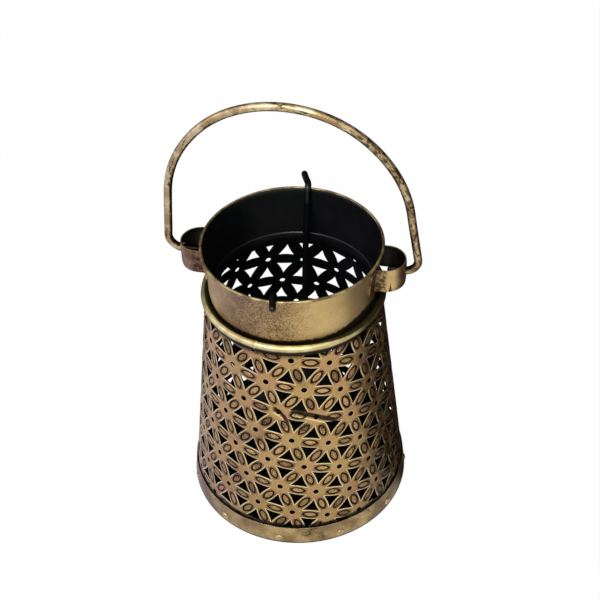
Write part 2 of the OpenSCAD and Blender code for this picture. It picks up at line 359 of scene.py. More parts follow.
def paint(red, green, blue):
    """A colour given as it looks on screen, 0 to 255, for a shader's colour socket."""
    shares = [c / 255 for c in (red, green, blue)]
    return tuple(c / 12.92 if c <= 0.04045 else ((c + 0.055) / 1.055) ** 2.4 for c in shares) + (1.0,)


# Paints of the pierced sheet, the bail's wire and the black pieces
OLIVE_GOLD = paint(188, 156, 102)
PINK_GOLD = paint(188, 144, 106)
PALE_GOLD = paint(240, 220, 168)
ROSE_GOLD = paint(208, 166, 118)
BROWN_FIELD = paint(96, 68, 42)
RED_BROWN = paint(66, 40, 28)
UMBER = paint(58, 38, 24)
WIRE_GOLD = paint(218, 198, 154)
WIRE_BROWN = paint(164, 138, 98)
SOOT = paint(15, 9, 6)
BLACK_PAINT = paint(3, 4, 6)
GREY_PAINT = paint(9, 10, 12)

# Each rubbed finish: light and dark tone, share of specks, blotches in millimetres and metallic
RUBBED = {
    "cut_edge_gold": ((44, 32, 22), (15, 9, 6), 0.6, 6, 0.7),
    "collar_gold": ((206, 176, 122), (138, 108, 76), 0.45, 7, 0.75),
    "rim_gold": ((190, 170, 116), (106, 86, 56), 0.65, 6, 0.7),
    "ring_gold": ((216, 204, 150), (190, 174, 118), 0.3, 5, 0.75),
    "band_gold": ((184, 160, 114), (132, 108, 74), 0.5, 11, 0.7),
    "ear_gold": ((210, 178, 126), (116, 86, 64), 0.5, 5, 0.75),
    "solder_gold": ((204, 182, 134), (168, 144, 102), 0.3, 2, 0.7),
    "strip_gold": ((128, 100, 66), (58, 38, 24), 0.6, 4, 0.7),
}


def petal_marks(bench):
    """Marks of the embossed pattern, worked out from the flat coordinates that a corner carries.

    The oval's level is 0 in the middle of a petal and 1 along its groove. The groove's dark is black paint
    with painted shade, and the pale edge round petals and hub holes is rubbed gold with a painted
    highlight.
    """
    x, y = bench.uv("petal")
    u, v = bench.uv("oval")
    kind, tint = bench.uv("traits")
    is_petal = bench.smooth(kind, 0.6, 0.4)
    is_hub = bench.line(kind - 1.0, 0.6, 0.4)
    wobble = waver(bench.noise(1.3), 0.3)
    level = (abs(v) / OVAL_B) ** OVAL_POWER + (abs(u) / OVAL_A) ** 2.0 + wobble
    side = PETAL_HALF_W - SIDE_R + (SIDE_R ** 2 - x * x) ** 0.5 - abs(y) + wobble
    from_hole = bench.calc("SQRT", x * x + y * y) - FLOWER_HOLE_R + wobble
    # Pale edges round petals and hub holes: rubbed gold and a painted highlight
    edge = bench.smooth(side, 0.72, 0.34) * is_petal
    ring = bench.smooth(from_hole, 0.4, 0.15) * is_hub * 0.35
    return {
        # The groove: black paint and painted shade
        "groove": bench.line(level - 1.1, 0.56, 0.26) * is_petal,
        "field": bench.smooth(level, 1.2, 1.5) * is_petal,
        "lens": bench.smooth(level, 0.95, 0.75) * is_petal,
        "inner": bench.line(level - 0.3, 0.16, 0.04) * is_petal * bench.smooth(tint, 0.3, 0.6),
        "edge": bench.most(edge, ring),
        "tint": tint,
    }


def lap_marks(bench):
    """The creased lap in the front sheet: painted shadow along its lines, a painted highlight on the edge
    under each, and a dull middle.

    Each stretch is z = a + b x + c x ^ 2 in millimetres between two places across the front.
    """
    x, y, z = bench.place()
    front = bench.smooth(y, FRONT_Y, FRONT_Y - FRONT_FADE)
    shadows, highlights, dulls = [], [], []
    for start, end, a, b, c in LAPS:
        below = z - a - (x + waver(bench.noise(2.5), 1.4)) * b - x * x * c
        within = bench.smooth(x, start, start + 1.5) * bench.smooth(x, end, end - 2.5) * front
        # Painted shadow along the lap, and a painted highlight on the edge below it
        shadows.append(bench.line(below, LAP_DARK + 0.4, LAP_DARK - 0.3) * within)
        highlights.append(bench.line(below + LAP_EDGE, 0.5, 0.2) * within)
        dulls.append(bench.line(below, 0.6, 0.2) * within)
    return bench.most(*shadows), bench.most(*highlights), bench.most(*dulls)


def smudge_marks(bench):
    """Smudges on the front: 1 round each middle, 0 from its radius outwards and on the back."""
    x, y, z = bench.place()
    behind = bench.smooth(y, FRONT_Y - FRONT_FADE, FRONT_Y) * 9.0
    smudges = []
    for middle_x, middle_z, radius in SMUDGES:
        away = ((x - middle_x) ** 2.0 + (z - middle_z) ** 2.0) ** 0.5 + behind
        smudges.append(bench.smooth(away, radius, radius * 0.4))
    return bench.most(*smudges)


def lattice_gold():
    """Gold paint rubbed over black on the embossed sheet: dark grooves with painted shade, brown fields,
    pale edges with a painted highlight, and painted shade on the right side, in the lap and at the band
    and the ring.
    """
    bench = Bench.new("lattice_gold")
    marks = petal_marks(bench)
    lap_shadow, lap_highlight, lap_dull = lap_marks(bench)
    x, _, z = bench.place()
    fine = bench.noise(0.7, 4)
    patina = bench.blotches(16, 0.52, 0.74)
    # Painted shade on the right side, in reddish blotches
    right_side_shade = bench.smooth(x, 26.0, 46.0) * (0.35 + bench.blotches(5, 0.4, 0.6) * 0.5)
    # Rubbed gold with a painted highlight on the edges, and a painted highlight along the lap
    pale = bench.most(marks["edge"] * bench.smooth(fine, 0.2, 0.45), lap_highlight)
    # Black paint with painted shade in the grooves, painted shadow in the lap, and worn smudges
    dark = bench.most(marks["groove"] * 0.95, marks["inner"] * 0.6, lap_shadow * 0.95,
                      smudge_marks(bench) * bench.smooth(fine, 0.4, 0.5) * 0.8)
    # Black paint and painted shadow at the band and under the ring
    foot = bench.smooth(z, *FOOT_CREASE)
    neck = bench.smooth(z + waver(fine, 4.0), *NECK_CREASE) * 0.85
    color = bench.coats(OLIVE_GOLD, [
        (bench.blotches(9, 0.4, 0.7, 2) * 0.8, PINK_GOLD),
        (marks["lens"] * 0.6, ROSE_GOLD),
        (marks["lens"] * bench.blotches(0.9, 0.5, 0.62) * 0.6, BROWN_FIELD),
        (bench.smooth(marks["tint"], 0.72, 1.0) * marks["lens"] * 0.45, UMBER),
        (marks["field"] * 0.45, BROWN_FIELD),
        (patina * bench.smooth(fine, 0.3, 0.55) * 0.7, UMBER),
        (bench.smooth(fine, 0.56, 0.7) * 0.45, UMBER),
        (bench.smooth(z, 50.0, 20.0) * 0.22, UMBER),
        (right_side_shade, RED_BROWN),
        (pale * (0.85 - patina * 0.4) * (1.0 - right_side_shade * 0.8), PALE_GOLD),
        (dark, SOOT),
        (lap_dull * bench.smooth(fine, 0.4, 0.6) * 0.5, BROWN_FIELD),
        (bench.most(foot, neck) * 0.95, SOOT),
    ])
    height = marks["lens"] * 0.3 - dark * 0.6 - marks["edge"] * 0.5 + fine * 0.12
    return bench.finish(Base_Color=color, Metallic=0.8, Roughness=0.3 + fine * 0.22,
                        Specular_IOR_Level=0.2, Normal=bench.bump(height, 0.3))


def rubbed_gold(name, shade=None, tone=None):
    """Gold paint over black: two tones in soft blotches, with small black specks where it has worn."""
    bench = Bench.new(name)
    light, dark, speckle, blotch_mm, metallic = RUBBED[name]
    blotch = bench.blotches(blotch_mm, 0.35, 0.68)
    fine = bench.noise(0.5, 5, roughness=0.7)
    # Tone functions add painted highlights and reflections, and shade functions add painted shade, as well
    # as real tones and wear
    share = tone(bench) + waver(blotch, 0.3) if tone else blotch
    layers = [(share, paint(*light)), (bench.smooth(fine, 0.56, 0.66) * speckle, SOOT)]
    if shade:
        layers.append((shade(bench), SOOT))
    return bench.finish(Base_Color=bench.coats(paint(*dark), layers), Metallic=metallic,
                        Roughness=0.3 + fine * 0.2, Specular_IOR_Level=0.25,
                        Normal=bench.bump(fine + blotch * 0.5, 0.06))


def satin_black(name, roughness, shine):
    """Satin black paint with a faint orange peel."""
    bench = Bench.new(name)
    peel = bench.noise(1.6)
    color = bench.coats(BLACK_PAINT, [(bench.blotches(5, 0.4, 0.75), GREY_PAINT)])
    return bench.finish(Base_Color=color, Roughness=roughness + peel * 0.12, Specular_IOR_Level=shine,
                        Normal=bench.bump(peel, 0.04))


def collar_tone_and_highlight(bench):
    """The collar's gold, with a painted highlight at the front right and a painted pale reflection at the
    left end; it is brownest at the front left.
    """
    x = bench.place()[0]
    # Painted highlight at the front right, painted reflection at the left end
    right = bench.smooth(x, 0.0, 18.0) * 0.6
    left_end_reflection = bench.smooth(x, -25.0, -34.0) * 0.7
    front_left = bench.line(x + 16.0, 9.0, 3.0) * 0.15
    return 0.38 + right + left_end_reflection - front_left


def collar_shade_and_specks(bench):
    """Black paint and painted shadow in the crease between collar and ring, wider at the sides, painted
    shadow beside the ears, and worn specks at the front left.
    """
    x, y, z = bench.place()
    # The crease: black paint and painted shadow
    crease_z = CREASE_Z + bench.smooth(abs(x + 3.0), 26.0, 38.0) * 3.0
    crease = bench.smooth(z + waver(bench.noise(1.6, 4), 2.4) - crease_z, 0.6, -0.6)
    way = bench.calc("ARCTAN2", y, x)
    specks = bench.line(way - SPECKS_WAY, 0.75, 0.2) * bench.blotches(0.75, 0.46, 0.58, 4)
    # Painted shadow beside the ears' tabs
    left = bench.smooth(x, -32.0, -37.0) * bench.smooth(y, -3.0, 1.0)
    right = bench.smooth(x, 31.0, 36.0) * bench.smooth(y, -19.0, -8.0)
    return bench.most(left * 0.9, right * 0.62, crease * 0.95, specks * 0.6)


def ring_shade(bench):
    """Black paint and painted shade in the creases above and below the ring, and painted shade on the
    ring's ends beside the ears.
    """
    x, y, z = bench.place()
    out = bench.calc("SQRT", x * x + y * y) - RING_R + waver(bench.noise(1.2), 0.5)
    # Black paint and painted shade on the underside and in the crevice by the collar
    low = bench.smooth(z - RING_Z + out * 0.5, 1.2, 0.6)
    spread = bench.smooth(x, 8.0, 34.0) * 1.5 + bench.smooth(x, -12.0, -36.0) * 0.4
    inner = bench.smooth(out - spread, 0.1, -0.5)
    # Painted shade on the ends beside the ears
    left = bench.smooth(x, -34.0, -38.0)
    right = bench.smooth(x, 32.0, 37.0)
    return bench.most(low * 0.92, inner * 0.92, left * 0.3, right * 0.8)


def band_wear_and_shade(bench):
    """Black along the band's lower edge, black worn patches, and painted shade on the sides."""
    x, _, z = bench.place()
    low = bench.smooth(z + waver(bench.noise(3), 0.8), 1.0, 0.5)
    patch = bench.blotches(9, 0.58, 0.68) * bench.blotches(0.9, 0.42, 0.56, 4)
    # Painted shade on the sides
    side = bench.smooth(abs(x), 36.0, 52.0) * 0.5 + bench.smooth(x, -8.0, -40.0) * 0.16
    return bench.most(low * 0.9, patch * 0.75, side)


def strip_shade(bench):
    """Black paint and painted shadow where the wall's plain strips meet the band and the ring."""
    z = bench.place()[2]
    return bench.most(bench.smooth(z, *FOOT_CREASE), bench.smooth(z, *NECK_CREASE)) * 0.9


def ear_tone_and_highlight(bench):
    """A painted highlight: a bright upright streak on the front of the right ear's loop; the rest is
    browner.
    """
    x, y, _ = bench.place()
    way = bench.calc("ARCTAN2", y, abs(x) - EAR_X)
    # The streak is a painted highlight
    streak = bench.line(way - HIGHLIGHT_WAY, 0.6, 0.15) * bench.smooth(x, -1.0, 1.0)
    return 0.1 + streak * 0.85


def ear_shade(bench):
    """Dark mottled tabs beside the collar, dark paint with painted shadow, and a short nick in the right
    ear's lower edge painted dark as its shade.
    """
    x, y, z = bench.place()
    mottle = bench.noise(1.4, 4)
    # Tabs: dark paint and painted shadow where they meet the collar
    tab = bench.smooth(abs(x) + waver(mottle, 2.0), 44.0, 42.4) * bench.smooth(mottle, 0.35, 0.6)
    # The nick: a small slit painted as shade
    nick = bench.smooth(abs(x - NICK_X) + (z - NICK_Z) * 0.14, 0.75, 0.4)
    nick = nick * bench.smooth(y, 0.0, -1.0) * bench.smooth(z, 135.2, 134.0)
    return bench.most(tab * 0.8, nick * 0.95)


def wire_gold(name):
    """Pale gold paint on bent wire: black streaks along it, more towards the right, and an underside and
    feet of black paint with painted shade.
    """
    bench = Bench.new(name)
    along, around = bench.uv("wire")
    x, _, z = bench.place()
    streaks = bench.grain(along, around, 0.1, 5.0)
    stripes = bench.grain(along, around, 0.35, 9.0)
    spots = bench.noise(1.1, 4)
    worn = bench.smooth(streaks, 0.53, 0.6) * bench.smooth(stripes, 0.4, 0.55)
    # More black streaks towards the right
    right_streaks = bench.smooth(x, 14.0, 34.0) * bench.smooth(stripes, 0.47, 0.56)
    # The underside: black paint and painted shade
    under = bench.smooth(abs(around - UNDERSIDE) + waver(stripes, 0.2), 0.2, 0.13)
    # The feet inside the ears: black paint and painted shade
    foot = bench.smooth(abs(x), 50.8, 49.8) * bench.smooth(z, PIN_Z + 5, PIN_Z + 4)
    color = bench.coats(WIRE_GOLD, [
        (bench.blotches(7, 0.35, 0.65, 2), WIRE_BROWN),
        (bench.most(worn * 0.9, right_streaks * 0.8), SOOT),
        (bench.smooth(spots, 0.58, 0.68) * 0.6, UMBER),
        (bench.most(under * 0.96, foot), SOOT),
    ])
    return bench.finish(Base_Color=color, Metallic=0.8, Roughness=0.26 + spots * 0.22,
                        Specular_IOR_Level=0.25, Normal=bench.bump(spots, 0.08))


def add_piece(name, points, faces, materials, slots=None, uvs=None, sharp=SHARP_EDGE):
    """Makes a mesh object from points in millimetres, merges doubles and points its faces outward.

    Edges that turn by more than sharp, in degrees, stay crisp.
    """
    mesh = bpy.data.meshes.new(name)
    mesh.from_pydata((np.asarray(points) * MM).tolist(), [], [list(map(int, f)) for f in faces])
    if slots is not None:
        mesh.polygons.foreach_set("material_index", np.asarray(slots, np.int32))
    for layer, values in (uvs or {}).items():
        mesh.uv_layers.new(name=layer).data.foreach_set("uv", np.asarray(values, np.float32).ravel())
    shell = bmesh.new()
    shell.from_mesh(mesh)
    bmesh.ops.remove_doubles(shell, verts=shell.verts, dist=0.002 * MM)
    if shell.calc_volume(signed=True) < 0:
        bmesh.ops.reverse_faces(shell, faces=shell.faces)
    shell.to_mesh(mesh)
    shell.free()
    mesh.polygons.foreach_set("use_smooth", np.ones(len(mesh.polygons), bool))
    mesh.set_sharp_from_angle(angle=math.radians(sharp))
    for material in materials:
        mesh.materials.append(material)
    piece = bpy.data.objects.new(name, mesh)
    bpy.context.scene.collection.objects.link(piece)
    return piece


def joined(shapes):
    """Points and faces of several shapes end to end, with each shape's faces numbered on."""
    starts = np.cumsum([0] + [len(points) for points, faces in shapes])
    faces = [np.asarray(face) + start for start, shape in zip(starts, shapes) for face in shape[1]]
    return np.concatenate([points for points, faces in shapes]), faces


def grid_quads(rows, cols, wrap_rows=False, wrap_cols=False):
    """Quads of a grid of points numbered row by row; where it wraps, the last joins the first."""
    r, c = np.meshgrid(np.arange(rows - (not wrap_rows)), np.arange(cols - (not wrap_cols)), indexing="ij")
    up, right = (r + 1) % rows, (c + 1) % cols
    quads = np.stack([r * cols + c, up * cols + c, up * cols + right, r * cols + right], -1)
    return quads.reshape(-1, 4)


def round_z(r, angle, z):
    """Points at a radius, an angle and a height round Z: (r cos a, r sin a, z)."""
    return np.stack([r * np.cos(angle), r * np.sin(angle), z], -1)


def revolved(outline, steps, sway=None):
    """A closed outline of (radius, height) carried round Z in steps.

    sway(a, r, h) may return a change of the radius and one of the height.
    """
    angle = np.linspace(0, 2 * np.pi, steps, endpoint=False)[:, None]
    r, z = (np.broadcast_to(side, (steps, len(outline))) for side in np.asarray(outline, float).T)
    if sway:
        more_r, more_z = sway(angle, r, z)
        r, z = r + more_r, z + more_z
    return round_z(r, angle, z).reshape(-1, 3), grid_quads(steps, len(outline), True, True)


def arc(centre_x, centre_y, radius, start, end, count):
    """Points of a circle from one angle to another, in degrees, both ends included."""
    a = np.radians(np.linspace(start, end, count))
    return np.stack([centre_x + radius * np.cos(a), centre_y + radius * np.sin(a)], -1)


def there_and_back(half, mirror):
    """A plane path that runs to its middle, and then back along its own mirror image."""
    return np.concatenate([half, (half * mirror)[::-1][1:]])


def swept_rod(path, radius, across, sides, round_ends=True, dents=0.0):
    """A round rod along a path: point + r (n cos t + b sin t), n and b square to the path.

    b stays square to the direction called across. Each end closes in a half sphere, whose
    radius at a distance s from its middle is the root of r squared less s squared. Dents
    change r by a share of sin(0.9 d) cos(t + 0.2 d) + 0.6 sin(0.37 d + 1), d along the rod.
    """
    path = np.asarray(path, float)
    radii = np.full(len(path), float(radius))
    if round_ends:
        share = np.sin(np.linspace(0, np.pi / 2, 6))[:-1]
        head = (path[0] - path[1]) / np.linalg.norm(path[0] - path[1])
        tail = (path[-1] - path[-2]) / np.linalg.norm(path[-1] - path[-2])
        grow = radius * np.cos(np.arcsin(1 - share))
        back = (radius * share)[:, None]
        path = np.concatenate([path[0] - head * back, path[1:-1], (path[-1] - tail * back)[::-1]])
        radii = np.concatenate([grow, radii[1:-1], grow[::-1]])
    run = np.gradient(path, axis=0)
    run /= np.linalg.norm(run, axis=1)[:, None]
    b = np.cross(run, across)
    b /= np.linalg.norm(b, axis=1)[:, None]
    n = np.cross(b, run)
    along = np.concatenate([[0], np.cumsum(np.linalg.norm(np.diff(path, axis=0), axis=1))])
    turn = np.linspace(0, 2 * np.pi, sides, endpoint=False)
    dent = 1 + dents * (np.sin(along * 0.9)[:, None] * np.cos(turn + along[:, None] * 0.2)
                        + 0.6 * np.sin(along * 0.37 + 1)[:, None])
    r = (radii[:, None] * dent)[..., None]
    points = path[:, None] + r * (n[:, None] * np.cos(turn)[:, None] + b[:, None] * np.sin(turn)[:, None])
    row, col = np.meshgrid(np.arange(len(path) - 1), np.arange(sides), indexing="ij")
    u = np.stack([along[row], along[row + 1], along[row + 1], along[row]], -1)
    v = np.stack([col, col, col + 1, col + 1], -1) / sides
    uv = np.concatenate([np.stack([u, v], -1).reshape(-1, 2), np.zeros((2 * sides, 2))])
    ends = [np.arange(sides)[::-1], np.arange(sides) + (len(path) - 1) * sides]
    return points.reshape(-1, 3), [*grid_quads(len(path), sides, False, True), *ends], {"wire": uv}


def petal_template():
    """One petal between two flowers, lying along X: its points, heights, faces and face kinds.

    Rings follow the oval (a cos t, b |sin t| ^ (2 / power)). The outline is two short straight
    ends and two arcs through (0, +-PETAL_HALF_W). Walls go down from the arcs, and one face
    closes the back.
    """
    reach = math.degrees(math.asin(END_X / SIDE_R))
    top = arc(0, PETAL_HALF_W - SIDE_R, SIDE_R, 90 - reach, 90 + reach, SIDE_POINTS)
    outline = np.concatenate([[[END_X, 0]], top, [[-END_X, 0]], -top])
    count = PETAL_CORNERS
    t = np.arctan2(outline[:, 1] / PETAL_HALF_W, outline[:, 0] / END_X)
    oval_y = OVAL_B * np.sign(np.sin(t)) * abs(np.sin(t)) ** (2 / OVAL_POWER)
    oval = np.stack([OVAL_A * np.cos(t), oval_y], -1)
    rings = [oval * [1 - (1 - share) * RING_LENGTHWAYS, share] for share, level in PETAL_RINGS]
    points = np.concatenate([[[0, 0]], *rings, outline, outline])
    is_side = abs(outline[:, 1]) > END_Y * 0.99
    edge_levels = np.where(abs(outline[:, 0]) > END_X * 0.99, HUB_LEVEL, EDGE_LEVEL)
    levels = np.concatenate([[LENS_LEVEL], *[np.full(count, level) for share, level in PETAL_RINGS],
                             edge_levels, np.full(count, -WALL)])
    around = np.arange(count)
    after = (around + 1) % count
    faces = [[0, 1 + k, 1 + n] for k, n in zip(around, after)]
    for ring in range(len(PETAL_RINGS)):
        low, high = 1 + ring * count, 1 + (ring + 1) * count
        faces += [[low + k, high + k, high + n, low + n] for k, n in zip(around, after)]
    front = len(faces)
    edge, back = 1 + len(PETAL_RINGS) * count, 1 + (len(PETAL_RINGS) + 1) * count
    faces += [[edge + n, edge + k, back + k, back + n] for k, n in zip(around, after)
              if is_side[k] and is_side[n]]
    walls = len(faces) - front
    faces.append(back + around[::-1])
    return points, levels, faces, [0] * front + [1] * walls + [2]


def hub_template():
    """The middle of one flower: a hexagon round its hole, with a low rim at the hole."""
    corner = HUB_R * np.exp(1j * np.radians(30 + 60 * np.arange(6)))
    outline = np.stack([corner, (corner + np.roll(corner, -1)) / 2], -1).ravel()
    unit = outline / abs(outline)
    hole = unit * FLOWER_HOLE_R
    loops = [outline, unit * (FLOWER_HOLE_R + LIP_W), hole, hole, outline]
    levels = [HUB_LEVEL, LIP_LEVEL, HOLE_LEVEL, -WALL, -WALL]
    count = len(outline)
    points = np.concatenate([np.stack([loop.real, loop.imag], -1) for loop in loops])
    faces = grid_quads(len(loops), count, False, True)[:, [0, 3, 2, 1]]
    return points, np.repeat(levels, count), faces, np.repeat([0, 0, 1, 2], count).tolist()


def on_wall(p, lift, middle):
    """A point of the flat sheet on the cone, lifted along the outward normal.

    Its distance from the sheet's apex gives the radius and height, its angle there the angle.
    """
    rho = np.hypot(p[..., 0], p[..., 1])
    angle = np.radians(middle) + np.arctan2(p[..., 0], -p[..., 1]) / SIN_HALF
    r = rho * SIN_HALF + lift * COS_HALF
    return round_z(r, angle, (APEX - rho) * COS_HALF + lift * SIN_HALF)


def laid_over(points):
    """The front sheet dented in along its lap: radius - depth * exp(-(below / width) ^ 2).

    below is the height over the lap's line, and the dent eases in over its ends.
    """
    x, y, z = points.T
    dent = np.zeros(len(points))
    for start, end, a, b, c in LAPS:
        below = z - a - b * x - c * x ** 2
        ends = np.clip((x - start) / LAP_FADE, 0, 1) * np.clip((end - x) / LAP_FADE, 0, 1)
        dent = np.maximum(dent, LAP_DEPTH * ends * (y < FRONT_Y) * np.exp(-(below / LAP_WIDTH) ** 2))
    shrink = 1 - dent / np.hypot(x, y)
    return np.stack([x * shrink, y * shrink, z], -1)


def turned(points, degrees):
    """Points of the plane turned about the origin; degrees may be an array, one for each copy."""
    c, s = np.cos(np.radians(degrees)), np.sin(np.radians(degrees))
    x, y = points[..., 0], points[..., 1]
    return np.stack([x * c - y * s, x * s + y * c], -1)


def flower_places(sheet):
    """Flower centres of a half sheet, in its flat coordinates, for every row and column near it."""
    rows = math.ceil(SLANT / ROW)
    span = math.ceil(2 * BASE_R / PITCH) + rows // 2
    j, i = np.meshgrid(np.arange(-rows, rows + 1), np.arange(-span, span + 1), indexing="ij")
    grid = np.stack([PITCH * (i - j / 2), ROW * j], -1).reshape(-1, 2)
    return np.array([0, SLANT / 2 - APEX]) + sheet["shift"] + turned(grid, -sheet["turn"])


def near_sheet(p, margin):
    """Whether flat points lie on the half sheet or within a margin of it."""
    rho = np.hypot(p[:, 0], p[:, 1])
    z = (APEX - rho) * COS_HALF
    beside = (abs(np.arctan2(p[:, 0], -p[:, 1])) - np.radians(90) * SIN_HALF) * rho
    return (z > -margin) & (z < BODY_H + margin) & (beside < margin)


def copies(template, places, turns, sheet, kind, spread):
    """Copies of a template set down on the half cone: their points, faces, kinds and corner marks.

    The spread moves, sizes and deepens only a petal's embossed rings, because its outline meets
    the flowers.
    """
    flat, levels, faces, face_kinds = template
    shift, size_span, depth_span = spread
    count = len(places)
    offset = (rng.random((count, 1, 2)) - 0.5) * 2 * shift
    size = 1 + (rng.random((count, 1, 1)) - 0.5) * size_span
    depth = 1 + (rng.random((count, 1)) - 0.5) * depth_span
    tint = np.broadcast_to(rng.random((count, 1)), (count, len(flat)))
    ringed = (kind == 0) & (np.arange(len(flat)) <= len(PETAL_RINGS) * PETAL_CORNERS)
    shape = np.where(ringed[:, None], flat * size + offset, flat)
    lift = np.where(ringed, levels * depth, levels)
    placed = places[:, None] + turned(shape, np.asarray(turns)[:, None])
    points = on_wall(placed, lift, sheet["middle"]).reshape(-1, 3)
    corner = np.concatenate(list(map(np.asarray, faces)))
    oval = np.where(ringed[:, None], flat, (flat - offset) / size)
    kinds = np.full((count, len(corner)), float(kind))
    marks = {
        "petal": shape[:, corner].reshape(-1, 2),
        "oval": oval[:, corner].reshape(-1, 2),
        "traits": np.stack([kinds, tint[:, corner]], -1).reshape(-1, 2),
    }
    starts = np.arange(count)[:, None] * len(flat)
    numbered = zip(*(np.asarray(face) + starts for face in faces))
    return points, [face for one_copy in numbered for face in one_copy], face_kinds * count, marks


def cut_off(shell, point, normal):
    """Cuts away what lies beyond a plane and closes the cut."""
    everything = shell.verts[:] + shell.edges[:] + shell.faces[:]
    cut = bmesh.ops.bisect_plane(shell, geom=everything, plane_co=Vector(point) * MM,
                                 plane_no=Vector(normal), clear_outer=True)["geom_cut"]
    edges = [e for e in cut if isinstance(e, bmesh.types.BMEdge)]
    bmesh.ops.holes_fill(shell, edges=edges, sides=0)


def slab(outer, inner):
    """Sheet between two grids of points: its points, faces, and how many faces lie on each side."""
    rows, cols = outer.shape[:2]
    front = grid_quads(rows, cols)
    back = front[:, ::-1] + rows * cols
    last_row = (rows - 1) * cols
    rim = np.concatenate([np.arange(cols), np.arange(1, rows) * cols + cols - 1,
                          last_row + np.arange(cols - 2, -1, -1),
                          np.arange(rows - 2, 0, -1) * cols])
    after = np.roll(rim, -1)
    walls = np.stack([rim, after, after + rows * cols, rim + rows * cols], -1)
    points = np.concatenate([outer.reshape(-1, 3), inner.reshape(-1, 3)])
    return points, np.concatenate([front, back, walls]), len(front)


def wall_at(z):
    """Outside radius of the wall."""
    return BASE_R - z * TAPER / BODY_H


def edge_strips(name, sheet, materials):
    """The plain strips round a half sheet, a hair thicker than it: top, foot and both seams.

    Each is a grid of (r cos a, r sin a, z) on the cone's outside, and one on its inside.
    """
    around = np.linspace(-90, 90, 91)
    seam = math.degrees(SEAM_STRIP / TOP_R)
    heights = np.linspace(0, BODY_H, 9)
    layouts = [(around, [BODY_H - TOP_STRIP, BODY_H]), (around, [0, BOTTOM_STRIP]),
               ([-90, -90 + seam], heights), ([90 - seam, 90], heights)]
    strips, slots = [], []
    for angles, levels in layouts:
        a, z = np.meshgrid(np.radians(sheet["middle"] + np.asarray(angles)), levels, indexing="ij")
        radii = [wall_at(z) + lift / COS_HALF for lift in (STRIP_PROUD, -WALL - STRIP_PROUD)]
        outer, inner = (round_z(r, a, z) for r in radii)
        points, faces, fronts = slab(outer, inner)
        strips.append((points, faces))
        slots += [0] * fronts + [1] * (len(faces) - fronts)
    return add_piece(name, *joined(strips), materials, slots)


def lattice_sheet(name, sheet, materials):
    """A half sheet of the wall: embossed petals and pierced flowers, cut off at its plain strips."""
    flowers = flower_places(sheet)
    hubs = flowers[near_sheet(flowers, HUB_R)]
    ways = np.array([0, 60, 120]) - sheet["turn"]
    toward = np.stack([np.cos(np.radians(ways)), np.sin(np.radians(ways))], -1)
    middles = flowers[:, None] + PITCH / 2 * toward
    turns = np.broadcast_to(ways, middles.shape[:2]).ravel()
    middles = middles.reshape(-1, 2)
    kept = near_sheet(middles, PITCH / 2)
    hub_turns = np.full(len(hubs), -sheet["turn"])
    sets = [copies(petal_template(), middles[kept], turns[kept], sheet, 0, PETAL_SPREAD),
            copies(hub_template(), hubs, hub_turns, sheet, 1, HUB_SPREAD)]
    points, faces = joined([part[:2] for part in sets])
    slots = sets[0][2] + sets[1][2]
    marks = {key: np.concatenate([part[3][key] for part in sets]) for key in sets[0][3]}
    piece = add_piece(name, laid_over(points), faces, materials, slots, marks)

    shell = bmesh.new()
    shell.from_mesh(piece.data)
    side = math.copysign(1, sheet["middle"])
    cut_off(shell, (0, side * SEAM_STRIP / 2, 0), (0, -side, 0))
    cut_off(shell, (0, 0, BODY_H - TOP_STRIP / 2), (0, 0, 1))
    cut_off(shell, (0, 0, BOTTOM_STRIP / 2), (0, 0, -1))
    shell.to_mesh(piece.data)
    shell.free()
    piece.data.set_sharp_from_angle(angle=math.radians(SHARP_EDGE))
    return piece


def collar_at(z):
    """Outside radius of the collar: straight, then an arc that flares out to the rim."""
    rise = np.maximum(np.asarray(z, float) - FLARE_Z, 0)
    return COLLAR_R + FLARE_R - np.sqrt(FLARE_R ** 2 - rise ** 2)


def hand_sway(amount_r, amount_z, low, high):
    """Slow waves in radius and height, as in sheet bent by hand; they grow from low to high."""
    def sway(a, r, z):
        share = np.clip((z - low) / (high - low), 0, 1)
        wave = np.sin(2 * a + 0.6) + 0.6 * np.sin(3 * a + 2.1) + 0.35 * np.sin(7 * a + 0.3)
        ripple = np.sin(4 * a + 1.2) + 0.7 * np.sin(9 * a + 2.9)
        return amount_r * share * wave / 2, amount_z * share * ripple / 2
    return sway


def make_collar(gold, rim, black):
    """The collar sheet: plain outside, a rolled hem at the rim and a small hem inside the neck."""
    steps = 192
    flare = [(float(collar_at(z)), z) for z in np.linspace(FLARE_Z, RIM_Z - HEM_H, 10)]
    outside = [(COLLAR_R, z) for z in (COLLAR_LOW, *COLLAR_ROWS)] + flare
    hem_r = HEM_H / 2
    roll = arc(RIM_R + HEM_T - hem_r, RIM_Z - hem_r, hem_r, -50, 90, 7).tolist()
    rim_in = RIM_R - COLLAR_T
    top = [(rim_in + RIM_BEVEL, RIM_Z), (rim_in, RIM_Z - RIM_BEVEL)]
    inside = [(float(collar_at(z)) - COLLAR_T, z) for z in np.linspace(RIM_Z, FLARE_Z, 10)[1:]]
    neck, hem_top = COLLAR_R - COLLAR_T, COLLAR_LOW + NECK_HEM_H
    bead = arc(0, 0, 1, 100, 180, 8) * [NECK_BEAD, NECK_BEAD_HALF_H] + [neck, hem_top - NECK_BEAD_DROP]
    ledge = [*bead.tolist(), (neck - NECK_BEAD, COLLAR_LOW + COLLAR_BEVEL),
             (neck - NECK_BEAD + COLLAR_BEVEL, COLLAR_LOW)]
    points, faces = revolved(outside + roll + top + inside + ledge, steps, hand_sway(*COLLAR_SWAY))
    per_ring = [0] * len(outside) + [1] * (len(roll) + 1) + [2] * (len(top) + len(inside) + len(ledge) - 1)
    return add_piece("collar_sheet", points, faces, [gold, rim, black], np.tile(per_ring, steps), sharp=50)


